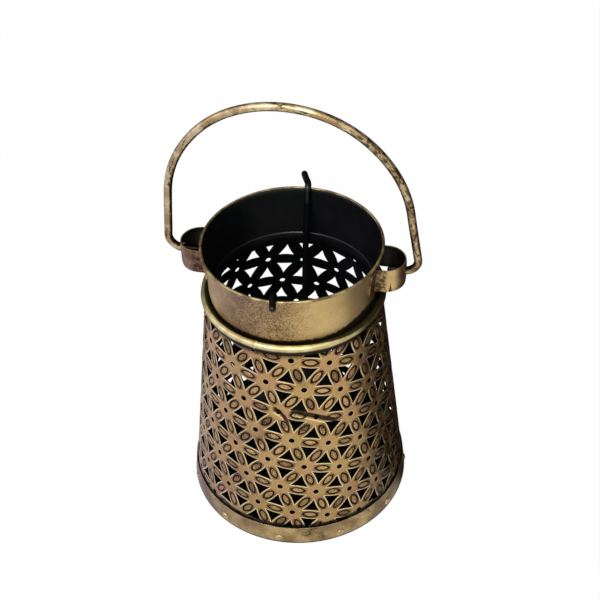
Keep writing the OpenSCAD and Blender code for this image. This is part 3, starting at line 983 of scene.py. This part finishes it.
def make_ring(gold):
    """The bright ring: round wire with faint hand-made dents and a butt joint at the front left.

    Its thickness follows slow waves, a low swelling beside the joint and a groove along it.
    """
    outline = arc(RING_R, RING_Z, RING_WIRE_R, 0, 360, 17)[:-1]

    def sway(a, r, z):
        beside = a - RING_JOINT
        lump = 0.28 * np.exp(-(beside / 0.03) ** 2) - 0.22 * np.exp(-((beside - 0.012) / 0.008) ** 2)
        wave = 0.035 * np.sin(5 * a + 1) + 0.03 * np.sin(17 * a) + 0.02 * np.sin(31 * a + 2)
        pinch = (wave + lump) / RING_WIRE_R
        return (r - RING_R) * pinch, (z - RING_Z) * pinch
    return add_piece("neck_ring", *revolved(outline, steps=720, sway=sway), [gold])


def make_band(gold, edge, black):
    """The plain band round the foot, leaning in with the wall, its upper edge slightly uneven."""
    steps = 220
    low, high = BASE_R + SEAT_GAP, wall_at(BAND_TOP) + SEAT_GAP
    outline = [(low, 0), (low + BAND_T - BAND_BEVEL, 0), (low + BAND_T, BAND_BEVEL),
               (high + BAND_T, BAND_TOP - BAND_BEVEL), (high + BAND_T - BAND_BEVEL, BAND_TOP),
               (high, BAND_TOP)]
    points, faces = revolved(outline, steps, hand_sway(*BAND_SWAY))
    per_ring = [2, 0, 0, 1, 2, 2]
    return add_piece("foot_band", points, faces, [gold, edge, black], np.tile(per_ring, steps))


def make_tacks(gold):
    """Solder tacks: low lumps on the band, each a little out of round in its own way.

    A lump is half of a flattened ball: width R sin(tilt) round its middle, rise cos(tilt) ^ 0.8.
    """
    rings, sides = 6, 14
    tilt, turn = np.meshgrid(np.linspace(0, np.pi / 2, rings),
                             np.linspace(0, 2 * np.pi, sides, endpoint=False), indexing="ij")
    rise = TACK_RISE * np.cos(tilt) ** 0.8 - TACK_SINK
    x = wall_at(TACK_Z) + BAND_T + SEAT_GAP + rise
    base = (np.arange(sides) + (rings - 1) * sides).tolist()
    faces = grid_quads(rings, sides, False, True).tolist() + [base]
    tacks = []
    for k in range(TACKS):
        angle = math.radians(-90 + 360 * k / TACKS)
        wide = TACK_R * (1 + 0.12 * np.sin(2 * turn + k) + 0.08 * np.sin(3 * turn + 2 * k)) * np.sin(tilt)
        y, z = wide * np.cos(turn), TACK_Z + wide * np.sin(turn) * 0.9 + rise * SIN_HALF
        points = np.stack([x * math.cos(angle) - y * math.sin(angle),
                           x * math.sin(angle) + y * math.cos(angle), z], -1)
        tacks.append((points.reshape(-1, 3), faces))
    return add_piece("solder_lumps", *joined(tacks), [gold])


def make_floor_disc(black):
    """The floor disc, pressed a little dished, with a rounded edge."""
    r = wall_at(FLOOR_T) - WALL - SEAT_GAP
    flat_r, low = r - FLOOR_RING_W, FLOOR_T - FLOOR_DISH
    outline = [(0, 0), (r - FLOOR_BEVEL, 0), (r, FLOOR_BEVEL), (r, FLOOR_T - FLOOR_BEVEL),
               (r - FLOOR_BEVEL, FLOOR_T), (flat_r, FLOOR_T), (flat_r - FLOOR_SLOPE_W, low), (0, low)]
    return add_piece("floor_disc", *revolved(outline, steps=128), [black])


def make_cup(black):
    """The tealight cup: pressed sheet with a rounded foot and a softened lip."""
    out, top, bend = CUP_R + CUP_T, CUP_Z + CUP_DEPTH + CUP_T, CUP_BEND_R + CUP_T
    foot = arc(out - bend, CUP_Z + bend, bend, -90, 0, 5).tolist()
    inner_foot = arc(out - bend, CUP_Z + bend, CUP_BEND_R, 0, -90, 5).tolist()
    lip = arc(out - CUP_T / 2, top - CUP_T / 2, CUP_T / 2, 0, 180, 6).tolist()
    outline = [(0, CUP_Z)] + foot + lip + inner_foot + [(0, CUP_Z + CUP_T)]
    return add_piece("tealight_cup", *revolved(outline, steps=96), [black])


def ear_plan(collar_r):
    """The ear strap seen from above, at mid thickness: tab, bend, leg, half ring and back again.

    Every stretch is an arc or a line, so each point moves smoothly with the collar's radius.
    """
    loop_r = EAR_R - EAR_T / 2
    bend_x = math.sqrt((collar_r + EAR_BEND_R) ** 2 - (loop_r + EAR_BEND_R) ** 2)
    lean = math.degrees(math.atan2(loop_r + EAR_BEND_R, bend_x))
    tab = math.degrees(math.asin((EAR_R + EAR_TAB) / COLLAR_R))
    half = np.concatenate([
        arc(0, 0, collar_r, -tab, -lean, 5)[:-1],
        arc(bend_x, -loop_r - EAR_BEND_R, EAR_BEND_R, 180 - lean, 90, 6)[:-1],
        np.linspace([bend_x, -loop_r], [EAR_X, -loop_r], 3)[:-1],
        arc(EAR_X, 0, loop_r, -90, 0, 13),
    ])
    return there_and_back(half, [1, -1])


def make_ear(name, mirror, gold, edge, black):
    """An ear: a strap of (run, height) points bent round the plan, with the bail hole through it."""
    heights = np.linspace(PIN_Z - EAR_W / 2, PIN_Z + EAR_W / 2, 9)
    plans = np.stack([ear_plan(float(collar_at(z)) + SEAT_GAP + EAR_T / 2) for z in heights], 1)
    run = np.gradient(plans, axis=0)
    run /= np.linalg.norm(run, axis=-1, keepdims=True)
    side = np.stack([run[..., 1], -run[..., 0]], -1)
    rows, cols = plans.shape[:2]
    z = np.broadcast_to(heights, (rows, cols))
    slim = np.ones((1, cols))
    slim[0, [0, -1]] = EAR_TIP_SHARE
    outer, inner = (np.concatenate([plans + side * (offset * slim)[..., None], z[..., None]], -1)
                    for offset in (EAR_T / 2, -EAR_T / 2))
    points, faces, fronts = slab(outer, inner)
    slots = [0] * fronts + [2] * fronts + [1] * (len(faces) - 2 * fronts)
    piece = add_piece(name, points * [mirror, 1, 1], faces, [gold, edge, black], slots, sharp=50)
    bore = [[mirror * RIM_R, 0, PIN_Z], [mirror * DRILL_END, 0, PIN_Z]]
    drill = add_piece("drill", *swept_rod(bore, EAR_HOLE_R, (0, 0, 1), 32, False)[:2], [edge])
    cut = piece.modifiers.new("bail_hole", "BOOLEAN")
    cut.operation = "DIFFERENCE"
    cut.object = drill
    cut.solver = "EXACT"
    bored = bpy.data.meshes.new_from_object(piece.evaluated_get(bpy.context.evaluated_depsgraph_get()))
    piece.modifiers.clear()
    piece.data = bored
    bpy.data.objects.remove(drill)
    return piece


def make_bail(gold):
    """The bail wire: foot, elbow, leaning leg, side arc and top arc, then mirrored.

    Each arc starts where the one before ends and in its direction, so the side arc's middle lies
    its radius inwards of the leg's top, and the top arc's middle on the lantern's axis.
    """
    slope = math.radians(LEG_SLOPE)
    (leg_x, leg_h), elbow_up = LEG_TOP, ELBOW_R * (1 + math.sin(slope))
    leg_foot_x = leg_x + (leg_h - elbow_up) * math.tan(slope)
    elbow_x = leg_foot_x - ELBOW_R * math.cos(slope)
    side_x, side_h = leg_x - SIDE_ARC_R * math.cos(slope), leg_h - SIDE_ARC_R * math.sin(slope)
    meet = math.acos(-side_x / (SIDE_ARC_R - TOP_ARC_R))
    top_h = side_h + (SIDE_ARC_R - TOP_ARC_R) * math.sin(meet)
    half = np.concatenate([
        np.linspace([FOOT_X, 0], [elbow_x, 0], 8)[:-1],
        arc(elbow_x, ELBOW_R, ELBOW_R, -90, LEG_SLOPE, 14)[:-1],
        np.linspace([leg_foot_x, elbow_up], LEG_TOP, 5)[:-1],
        arc(side_x, side_h, SIDE_ARC_R, LEG_SLOPE, math.degrees(meet), 22)[:-1],
        arc(0, top_h, TOP_ARC_R, math.degrees(meet), 90, 20),
    ])
    plan = there_and_back(half, [-1, 1])
    plan[:, 0] += BAIL_SHIFT * np.clip(plan[:, 1] / SHIFT_H, 0, 1)
    tip = math.radians(BAIL_LEAN)
    path = np.stack([plan[:, 0], -plan[:, 1] * math.sin(tip), PIN_Z + plan[:, 1] * math.cos(tip)], -1)
    points, faces, uvs = swept_rod(path, BAIL_R, (0, -math.cos(tip), -math.sin(tip)), 20, dents=BAIL_DENTS)
    return add_piece("bail_wire", points, faces, [gold], uvs=uvs)


def make_hook(name, hook, black, inner_black):
    """A hook: up from the cup, bowed to the rim, over it and out, its end bent a little sideways."""
    height, width = HOOK_Z1 - HOOK_Z0 - HOOK_BEND_R, HOOK_BEND_X - HOOK_R0 - HOOK_BEND_R
    bow_r = HOOK_BEND_R + (height ** 2 + width ** 2) / (2 * width)
    bow = 180 - math.degrees(math.asin(height / (bow_r - HOOK_BEND_R)))
    side = np.concatenate([
        np.linspace([HOOK_R0, CUP_Z], [HOOK_R0, HOOK_Z0], 4)[:-1],
        arc(HOOK_R0 + bow_r, HOOK_Z0, bow_r, 180, bow, 16)[:-1],
        arc(HOOK_BEND_X, HOOK_Z1 - HOOK_BEND_R, HOOK_BEND_R, bow, 90, 8)[:-1],
    ])
    ease = np.linspace(0, 1, 8)
    out = HOOK_BEND_X + (RIM_R + hook["out"] - HOOK_BEND_X) * ease
    bend = math.tan(math.radians(hook["turn"])) * np.minimum(1, HOOK_TURN_FROM + ease)
    tip = np.stack([out, (out - HOOK_BEND_X) * bend, np.full_like(out, HOOK_Z1)], -1)
    r, slip, z = np.concatenate([np.insert(side, 1, 0, axis=1), tip]).T
    path = np.stack([-hook["toward"] * slip, hook["toward"] * r, z], -1)
    points, faces, uvs = swept_rod(path, HOOK_WIRE_R, (1, 0.001, 0.3), 14, dents=HOOK_DENTS)
    below_rim = np.array([points[f[0]][2] < RIM_Z - HOOK_DARK for f in faces])
    return add_piece(name, points, faces, [black, inner_black], below_rim.astype(int), uvs)


# Finishes
LATTICE = lattice_gold()
CUT_EDGE = rubbed_gold("cut_edge_gold")
BLACK = satin_black("satin_black", roughness=0.3, shine=0.35)
HOOK_BLACK = satin_black("hook_black", roughness=0.5, shine=0.06)
COLLAR_GOLD = rubbed_gold("collar_gold", collar_shade_and_specks, collar_tone_and_highlight)
RIM_GOLD = rubbed_gold("rim_gold")
RING_GOLD = rubbed_gold("ring_gold", ring_shade)
BAND_GOLD = rubbed_gold("band_gold", band_wear_and_shade)
EAR_GOLD = rubbed_gold("ear_gold", ear_shade, ear_tone_and_highlight)
SOLDER = rubbed_gold("solder_gold")
STRIP = rubbed_gold("strip_gold", strip_shade)
BAIL_GOLD = wire_gold("bail_gold")

STRIP_FINISHES = [STRIP, BLACK]
SHEET_FINISHES = [LATTICE, CUT_EDGE, BLACK]

# Each piece with its body, the frame's node that it replaces and its material slot
PIECES = [
    (edge_strips("front_strips", FRONT_SHEET, STRIP_FINISHES), "root", None, "pierced_sheet"),
    (edge_strips("back_strips", BACK_SHEET, STRIP_FINISHES), "root", None, "pierced_sheet"),
    (lattice_sheet("front_lattice", FRONT_SHEET, SHEET_FINISHES), "root", "front_panel", "pierced_sheet"),
    (lattice_sheet("back_lattice", BACK_SHEET, SHEET_FINISHES), "root", "back_panel", "pierced_sheet"),
    (make_band(BAND_GOLD, RIM_GOLD, BLACK), "root", "base_band", "band_sheet"),
    (make_floor_disc(BLACK), "root", "base_plate", "black_metal"),
    (make_tacks(SOLDER), "root", "solder_tacks", "band_sheet"),
    (make_collar(COLLAR_GOLD, RIM_GOLD, BLACK), "root", "collar", "collar_sheet"),
    (make_ring(RING_GOLD), "root", "bead_ring", "bright_ring"),
    (make_ear("left_loop", -1, EAR_GOLD, RIM_GOLD, BLACK), "root", "left_ear", "collar_sheet"),
    (make_ear("right_loop", 1, EAR_GOLD, RIM_GOLD, BLACK), "root", "right_ear", "collar_sheet"),
    (make_bail(BAIL_GOLD), "bail", "bail_handle", "bail_wire"),
    (make_hook("front_rim_hook", FRONT_HOOK, BLACK, HOOK_BLACK), "hanger", "front_hook", "black_metal"),
    (make_hook("back_rim_hook", BACK_HOOK, BLACK, HOOK_BLACK), "hanger", "back_hook", "black_metal"),
    (make_cup(BLACK), "hanger", "candle_cup", "black_metal"),
]
for piece, body, node, slot in PIECES:
    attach(piece, body)
    if node:
        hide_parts(node)


# In metal the surround is white but for one side, round the right and the back
FLAG_WAY = (0.309, 0.951)
FLAG_START = -0.02
FLAG_END = 0.2
FLAG_SHADE = (0.5, 0.3, 0.2, 1)
FLAG_STRENGTH = 0.04
WHITE = (1, 1, 1, 1)
RIGHT_WHITE = (1.0, 0.98, 0.92, 1)
LEFT_WHITE = (0.78, 0.75, 0.92, 1)
LEFT_START = -0.05
LEFT_END = -0.5
FLOOR_GREY = (0.86, 0.86, 0.86, 1)
FLOOR_EYE_SHARE = 0.985
FLOOR_HALF = 3000
FLOOR_DROP = 0.05
AIR_BLUE = (0.92, 0.96, 1.0, 1)
AIR_STRENGTH = 0.3
EYE_HEIGHT = 0.07
LAMP_TARGET = Vector((0, 0, 90 * MM))

# Lamps: name, azimuth, elevation, distance and size in metres, power in watts
LAMPS = (("key_lamp", -5, 55, 0.9, 0.35, 6.5),
         ("left_fill", -75, 30, 1.0, 0.6, 1.4),
         ("top_fill", 180, 75, 1.1, 0.8, 0.8))

# The camera: degrees, metres and pixels
CAMERA_ANGLES = (12.7, 44.385, -2.256)
CAMERA_DISTANCE = 550.75 * MM
CAMERA_TARGET = Vector((0, 0, 75 * MM))
FOCAL_PX = 1154.41
CENTRE_PX = (296.13, 356.08)
FRAME_PX = 600
SENSOR_MM = 36


def surround(bench, kind, x, y, z, plain, eye_share):
    """What a floor or a sky shows: white to the eye and through glass, flagged off in metal."""
    path = bench.make("ShaderNodeLightPath").socket.node
    camera, metal, glass = [Wire(bench, path.outputs[k])
                            for k in ("Is Camera Ray", "Is Glossy Ray", "Is Transmission Ray")]
    far = bench.calc("SQRT", x * x + y * y + z * z)
    away = (x * FLAG_WAY[0] + y * FLAG_WAY[1]) / far
    tint = bench.mix(bench.smooth(x / far, LEFT_START, LEFT_END), RIGHT_WHITE, LEFT_WHITE)
    white = bench.make(kind, None, {"Color": tint, "Strength": 1.0})
    shade = bench.make(kind, None, {"Color": FLAG_SHADE, "Strength": FLAG_STRENGTH})
    clear = bench.make(kind, None, {"Color": WHITE, "Strength": 1.0})
    open_side = bench.smooth(away, FLAG_END, FLAG_START)
    seen = bench.make("ShaderNodeMixShader", None, {0: open_side, 1: shade, 2: white})
    seen = bench.make("ShaderNodeMixShader", None, {0: metal, 1: plain, 2: seen})
    eye = bench.most(camera, glass) * eye_share
    return bench.make("ShaderNodeMixShader", None, {0: eye, 1: seen, 2: clear})


def toward_eye(azimuth, elevation):
    """The direction from the lantern to a place that is azimuth round from the front and elevation up."""
    return Vector((math.sin(azimuth) * math.cos(elevation), -math.cos(azimuth) * math.cos(elevation),
                   math.sin(elevation)))


def lay_floor():
    """A pale matt floor that the eye sees white, a hair under the lantern."""
    bench = Bench.new("studio_floor")
    x, y, z = bench.parts(bench.object_point)
    matt = bench.make("ShaderNodeBsdfDiffuse", None, {"Color": FLOOR_GREY})
    lit = surround(bench, "ShaderNodeEmission", x, y, z + EYE_HEIGHT, matt, FLOOR_EYE_SHARE)
    bench.make("ShaderNodeOutputMaterial", None, {0: lit})
    corners = np.array([[-1, -1, 0], [1, -1, 0], [1, 1, 0], [-1, 1, 0]]) * FLOOR_HALF - [0, 0, FLOOR_DROP]
    mesh = bpy.data.meshes.new("studio_floor")
    mesh.from_pydata((corners * MM).tolist(), [], [(0, 1, 2, 3)])
    mesh.materials.append(bench.material)
    floor = bpy.data.objects.new("studio_floor", mesh)
    bpy.context.scene.collection.objects.link(floor)


def fill_air():
    """A faint cool light from all round, which the eye and metal see as the white surround."""
    world = bpy.data.worlds.new("studio_air")
    bpy.context.scene.world = world
    world.use_nodes = True
    bench = Bench(world.node_tree)
    x, y, z = bench.parts(bench.make("ShaderNodeTexCoord", out="Generated"))
    soft = bench.make("ShaderNodeBackground", None, {"Color": AIR_BLUE, "Strength": AIR_STRENGTH})
    lit = surround(bench, "ShaderNodeBackground", x, y, z, soft, 1.0)
    bench.make("ShaderNodeOutputWorld", None, {0: lit})


def hang_lamps():
    """A key lamp over the front and two soft fills, all turned to the lantern."""
    for name, azimuth, elevation, distance, size, power in LAMPS:
        lamp = bpy.data.lights.new(name, "AREA")
        lamp.size = size
        lamp.energy = power
        back = toward_eye(math.radians(azimuth), math.radians(elevation))
        holder = bpy.data.objects.new(name, lamp)
        holder.location = LAMP_TARGET + back * distance
        holder.rotation_mode = "QUATERNION"
        holder.rotation_quaternion = (-back).to_track_quat("-Z", "Y")
        bpy.context.scene.collection.objects.link(holder)


def place_camera():
    """The camera, fitted to the rim, the foot and the flowers. It is turned by its roll at the end."""
    azimuth, elevation, roll = (math.radians(a) for a in CAMERA_ANGLES)
    back = toward_eye(azimuth, elevation)
    right = Vector((math.cos(azimuth), math.sin(azimuth), 0))
    up = back.cross(right)
    tilted_right = right * math.cos(roll) + up * math.sin(roll)
    tilted_up = up * math.cos(roll) - right * math.sin(roll)
    lens = bpy.data.cameras.new("photo_camera")
    lens.sensor_width = SENSOR_MM
    lens.sensor_fit = "HORIZONTAL"
    lens.lens = FOCAL_PX * SENSOR_MM / FRAME_PX
    lens.shift_x = 0.5 - CENTRE_PX[0] / FRAME_PX
    lens.shift_y = CENTRE_PX[1] / FRAME_PX - 0.5
    camera = bpy.data.objects.new("photo_camera", lens)
    turn = Matrix((tilted_right, tilted_up, back)).transposed().to_4x4()
    camera.matrix_world = Matrix.Translation(CAMERA_TARGET + back * CAMERA_DISTANCE) @ turn
    bpy.context.scene.collection.objects.link(camera)
    bpy.context.scene.camera = camera


lay_floor()
fill_air()
hang_lamps()
place_camera()
bpy.context.scene.view_settings.view_transform = "Standard"
